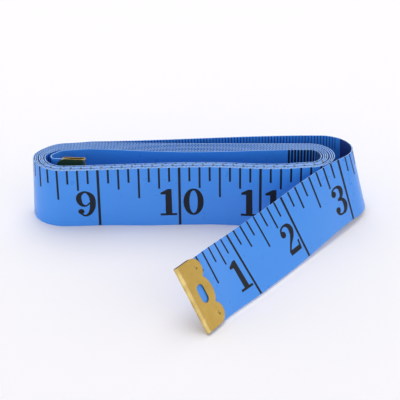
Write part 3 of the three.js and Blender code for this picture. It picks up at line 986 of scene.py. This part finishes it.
class TAPE_OT_reverse_print(bpy.types.Operator):
    """Print the reverse: millimetre ticks, made wider and black near the inner end as painted shade,
    numerals, and a dark sheet at the bend that paints its shade
    """

    bl_idname = "tape.reverse_print"
    bl_label = "Reverse print"

    def execute(self, context):
        sizes = context.scene.tape_print
        route = tape_route()
        free_ink, wound_ink, shaded_tick_ink = (Ink(route, REVERSE_FACE, sizes.ink_height) for _ in range(3))
        shade_sheet_ink = Ink(route, REVERSE_FACE, SHADE_SHEET_HEIGHT * sizes.ink_height)
        # steps in millimetres, and how far their ticks reach
        reaches = ((10, sizes.centimetre_tick), (5, sizes.half_centimetre_tick), (1, sizes.millimetre_tick))
        bare_end = route.total - BARE_INNER
        for millimetre in range(REVERSE_START, int(bare_end / MM)):
            # the scale counts from the inner end
            count = round(route.total / MM - millimetre)
            distance = route.total - count * MM
            if SHADE_START - SHADE_MARGIN < distance < SHADE_END + SHADE_MARGIN:
                continue
            width = sizes.millimetre_line
            ink = free_ink if distance < route.free_total else wound_ink
            # wider lines in black ink here paint the shade at the far end of the eye
            if distance > bare_end - SHADED_RUN:
                width *= SHADED_WIDENING
                ink = shaded_tick_ink
            ink.line(distance, width, tick_reach(count, reaches))
        # a dark sheet across the tape inside the bend: painted shade
        full_width = route.sizes.width - route.sizes.edge_round
        shade_sheet_ink.line((SHADE_START + SHADE_END) / 2, SHADE_END - SHADE_START, full_width)
        self.number_centimetres(free_ink, route, sizes)
        free = free_ink.piece("free_end_reverse_print", reverse_ink())
        wound = wound_ink.piece("wound_reverse_print", reverse_ink())
        # black ink on these real ticks is painted shade
        shaded_ticks = shaded_tick_ink.piece("wound_heavy_print", inch_ink())
        dark = shade_sheet_ink.piece("free_end_reverse_block", reverse_ink())
        for piece in (free, dark):
            bend_with_free_end(piece)
        for piece in (wound, shaded_ticks):
            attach(piece, "coil")
        return {"FINISHED"}

    def number_centimetres(self, ink, route, sizes):
        """Prints the numerals of the free end, up to the painted shade sheet."""
        tall = sizes.reverse_numeral
        foot = route.sizes.width - sizes.centimetre_tick - NUMERAL_DROP - tall
        for centimetre in range(int(route.total / CENTIMETRE), 0, -1):
            distance = route.total - centimetre * CENTIMETRE
            if not NUMERALS_FROM <= distance <= NUMERALS_TO:
                continue
            digits = str(centimetre)
            start = distance + sum(numeral_width(digit, tall) for digit in digits) / 2
            for digit in digits:
                ink.numeral(digit, start, foot, tall)
                start -= numeral_width(digit, tall)


# Limits for the tips: merging points, joining triangles, softening edges, smoothing
TIP_MERGE = 0.002 * MM
TIP_FLAT_ANGLE = radians(0.5)
TIP_EDGE = 0.07 * MM
TIP_EDGE_ANGLE = radians(40)
TIP_SMOOTH_ANGLE = radians(22)
PUNCH_FAN = 10  # least number of triangles about the point of a punch mark
HIGHLIGHT_TO = 0.05  # the painted highlight on the bead reaches this far past its centre, in bead radii


def crisp_punch_marks(piece):
    """Keeps the edges of the small round dents sharp: each is a fan of triangles about one point."""
    shape = bmesh.new()
    shape.from_mesh(piece.data)
    for point in shape.verts:
        fan = point.link_faces
        if len(fan) >= PUNCH_FAN and all(len(face.verts) == 3 for face in fan):
            for face in fan:
                for edge in face.edges:
                    edge.smooth = False
    shape.to_mesh(piece.data)
    shape.free()


def soften_edges(piece):
    """Joins the solid's triangles into whole faces and softens the pressed edges."""
    only_active(piece)
    bpy.ops.object.mode_set(mode="EDIT")
    bpy.ops.mesh.select_all(action="SELECT")
    bpy.ops.mesh.remove_doubles(threshold=TIP_MERGE)
    bpy.ops.mesh.dissolve_limited(angle_limit=TIP_FLAT_ANGLE)
    bpy.ops.object.mode_set(mode="OBJECT")
    soften = piece.modifiers.new("soft pressed edges", "BEVEL")
    soften.width = TIP_EDGE
    soften.segments = 2
    soften.limit_method = "ANGLE"
    soften.angle_limit = TIP_EDGE_ANGLE
    soften.use_clamp_overlap = True
    bpy.ops.object.modifier_apply(modifier=soften.name)


def rub_bead(mesh, centre, inward, radius):
    """Gives the outer side of the bead the tip's second material, a paler brass that paints on the bead's
    highlight.
    """
    for face in mesh.polygons:
        past_centre = np.dot(np.array(face.center) - centre, inward)
        face.material_index = int(past_centre < HIGHLIGHT_TO * radius)


def smooth_faces(piece):
    """Smooth shading that keeps the leaves flat and the bead's foot crisp."""
    only_active(piece)
    bpy.ops.object.shade_smooth_by_angle(angle=TIP_SMOOTH_ANGLE)
    flatten = piece.modifiers.new("flat leaves", "WEIGHTED_NORMAL")
    flatten.keep_sharp = True
    bpy.ops.object.modifier_apply(modifier=flatten.name)


class TAPE_OT_brass_tips(bpy.types.Operator):
    """Press the two folded brass tips, with softened edges and a painted highlight along the beads"""

    bl_idname = "tape.brass_tips"
    bl_label = "Brass tips"

    def execute(self, context):
        route = tape_route()
        brass = finish_of("pressed brass sheet", pressed_brass, "brass", "brass_dull")
        # the second brass is paler: it paints the highlight along each bead
        highlight_brass = finish_of("rubbed brass fold", pressed_brass, "brass_rubbed", "brass")
        for name, source, body, bead, inward in (
            ("outer_tip", "outer_end_tip", "free_end", route.point[0], route.along[0]),
            ("inner_tip", "inner_end_tip", "inner_end", route.point[-1], -route.along[-1]),
        ):
            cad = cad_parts[source]
            mesh = cad.data.copy()
            mesh.transform(cad.matrix_world)
            mesh.materials.clear()
            for material in (brass, highlight_brass):
                mesh.materials.append(material)
            piece = bpy.data.objects.new(name, mesh)
            context.collection.objects.link(piece)
            soften_edges(piece)
            rub_bead(piece.data, bead, inward, route.ends.bead_radius)
            crisp_punch_marks(piece)
            smooth_faces(piece)
            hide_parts(source)
            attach(piece, body)
        return {"FINISHED"}


# The stage: a pale floor in a white tent that is brighter round the sides than overhead, and four lamps

FLOOR_SIZE = 6
FLOOR_CENTRE = (0, 1.2, 0)
FLOOR_ROUGHNESS = 0.7
SIDE_STRENGTH, TOP_STRENGTH = 1.62, 0.22
TOP_FROM = 0.7  # sine of the elevation from which the tent is as dark as overhead
LAMPS_AIM = Vector((0, 0.02, 0.01))
# name, place in metres, size in metres and power in watts
LAMPS = (
    ("back softbox", (0.0, 0.5, 1.0), 1.0, 6.2),
    ("front softbox", (0.0, -0.1, 1.0), 1.0, 1.8),
    ("right softbox", (0.7, -0.6, 0.8), 0.8, 1.2),
    ("left softbox", (-0.9, -0.1, 0.4), 0.7, 0.8),
)
# the view of the photograph, as fitted to the printed scale
CAMERA_PLACE = (6.501, -345.212, 217.72)  # in millimetres
CAMERA_PLAN = (-0.01813, 0.99984, 0)  # the way it looks, seen from above
CAMERA_DOWN = radians(29.84)
CAMERA_ROLL = radians(-0.70)
SENSOR_WIDTH = 36
LENS = 120
NEAREST = 0.01


class TAPE_OT_stage(bpy.types.Operator):
    """Set the pale floor, the soft lights and the camera"""

    bl_idname = "tape.stage"
    bl_label = "Stage"

    def execute(self, context):
        scene = context.scene
        scene.view_settings.view_transform = "Standard"
        self.lay_floor(scene)
        self.hang_lights(scene)
        self.place_camera(scene)
        return {"FINISHED"}

    def lay_floor(self, scene):
        """Matt pale paint: it takes soft shadows and hardly mirrors the tape."""
        select_none()
        bpy.ops.mesh.primitive_plane_add(size=FLOOR_SIZE, location=FLOOR_CENTRE)
        floor_plane = bpy.context.object
        floor_plane.name = "floor"
        material, tree = new_material("pale studio floor")
        paint = {"Base Color": toned(scene.tape_finishes.floor, 1), "Roughness": FLOOR_ROUGHNESS}
        shader = node(tree, "ShaderNodeBsdfPrincipled", **paint)
        node(tree, "ShaderNodeOutputMaterial", {"Surface": shader.outputs[0]})
        floor_plane.data.materials.append(material)

    def hang_lights(self, scene):
        world = bpy.data.worlds.new("studio")
        scene.world = world
        world.use_nodes = True
        tree = world.node_tree
        background = tree.nodes["Background"]
        background.inputs["Color"].default_value = (1, 1, 1, 1)
        direction = node(tree, "ShaderNodeTexCoord")
        height = node(tree, "ShaderNodeSeparateXYZ", {0: direction.outputs["Generated"]})
        dimming = {"From Max": TOP_FROM, "To Min": SIDE_STRENGTH, "To Max": TOP_STRENGTH}
        strength = node(tree, "ShaderNodeMapRange", {"Value": height.outputs["Z"]}, **dimming)
        tree.links.new(strength.outputs[0], background.inputs["Strength"])
        for name, place, size, power in LAMPS:
            lamp = bpy.data.lights.new(name, "AREA")
            lamp.energy = power
            lamp.size = size
            held = bpy.data.objects.new(name, lamp)
            scene.collection.objects.link(held)
            held.location = place
            held.rotation_euler = (LAMPS_AIM - Vector(place)).to_track_quat("-Z", "Y").to_euler()

    def place_camera(self, scene):
        data = bpy.data.cameras.new("photo view")
        camera = bpy.data.objects.new("photo view", data)
        scene.collection.objects.link(camera)
        data.sensor_width = SENSOR_WIDTH
        data.lens = LENS
        data.clip_start = NEAREST
        plan = Vector(CAMERA_PLAN).normalized()
        right = Vector((plan.y, -plan.x, 0))
        forward = plan * cos(CAMERA_DOWN) - Vector(UP) * sin(CAMERA_DOWN)
        upward = right.cross(forward)
        turned_right = right * cos(CAMERA_ROLL) + upward * sin(CAMERA_ROLL)
        turned_up = upward * cos(CAMERA_ROLL) - right * sin(CAMERA_ROLL)
        pose = Matrix((turned_right, turned_up, -forward)).transposed().to_4x4()
        pose.translation = Vector(CAMERA_PLACE) * MM
        camera.matrix_world = pose
        scene.camera = camera


class TAPE_PT_panel(bpy.types.Panel):
    """Lists the steps that dress the tape measure"""

    bl_idname = "TAPE_PT_panel"
    bl_label = "Tape measure"
    bl_space_type = "VIEW_3D"
    bl_region_type = "UI"
    bl_category = "Tape"

    def draw(self, context):
        for step in STEPS:
            self.layout.operator(step.bl_idname)
        for group_name in GROUPS:
            group = getattr(context.scene, group_name)
            box = self.layout.box()
            for name in group.__annotations__:
                box.prop(group, name)


STEPS = (
    TAPE_OT_stage,
    TAPE_OT_wound_tape,
    TAPE_OT_free_end,
    TAPE_OT_inner_end,
    TAPE_OT_inch_print,
    TAPE_OT_reverse_print,
    TAPE_OT_brass_tips,
)
GROUPS = {
    "tape_sizes": TapeSizes,
    "tape_ends": FreeEndSizes,
    "tape_print": PrintSizes,
    "tape_finishes": Finishes,
}
CLASSES = (*GROUPS.values(), *STEPS, TAPE_PT_panel)


def register():
    for cls in CLASSES:
        bpy.utils.register_class(cls)
    for name, group in GROUPS.items():
        setattr(bpy.types.Scene, name, PointerProperty(type=group))


def unregister():
    for name in GROUPS:
        delattr(bpy.types.Scene, name)
    for cls in reversed(CLASSES):
        bpy.utils.unregister_class(cls)


def main():
    register()
    bpy.ops.tape.stage()
    bpy.ops.tape.wound_tape()
    bpy.ops.tape.free_end()
    bpy.ops.tape.inner_end()
    bpy.ops.tape.inch_print()
    bpy.ops.tape.reverse_print()
    bpy.ops.tape.brass_tips()


if __name__ == "__main__":
    main()
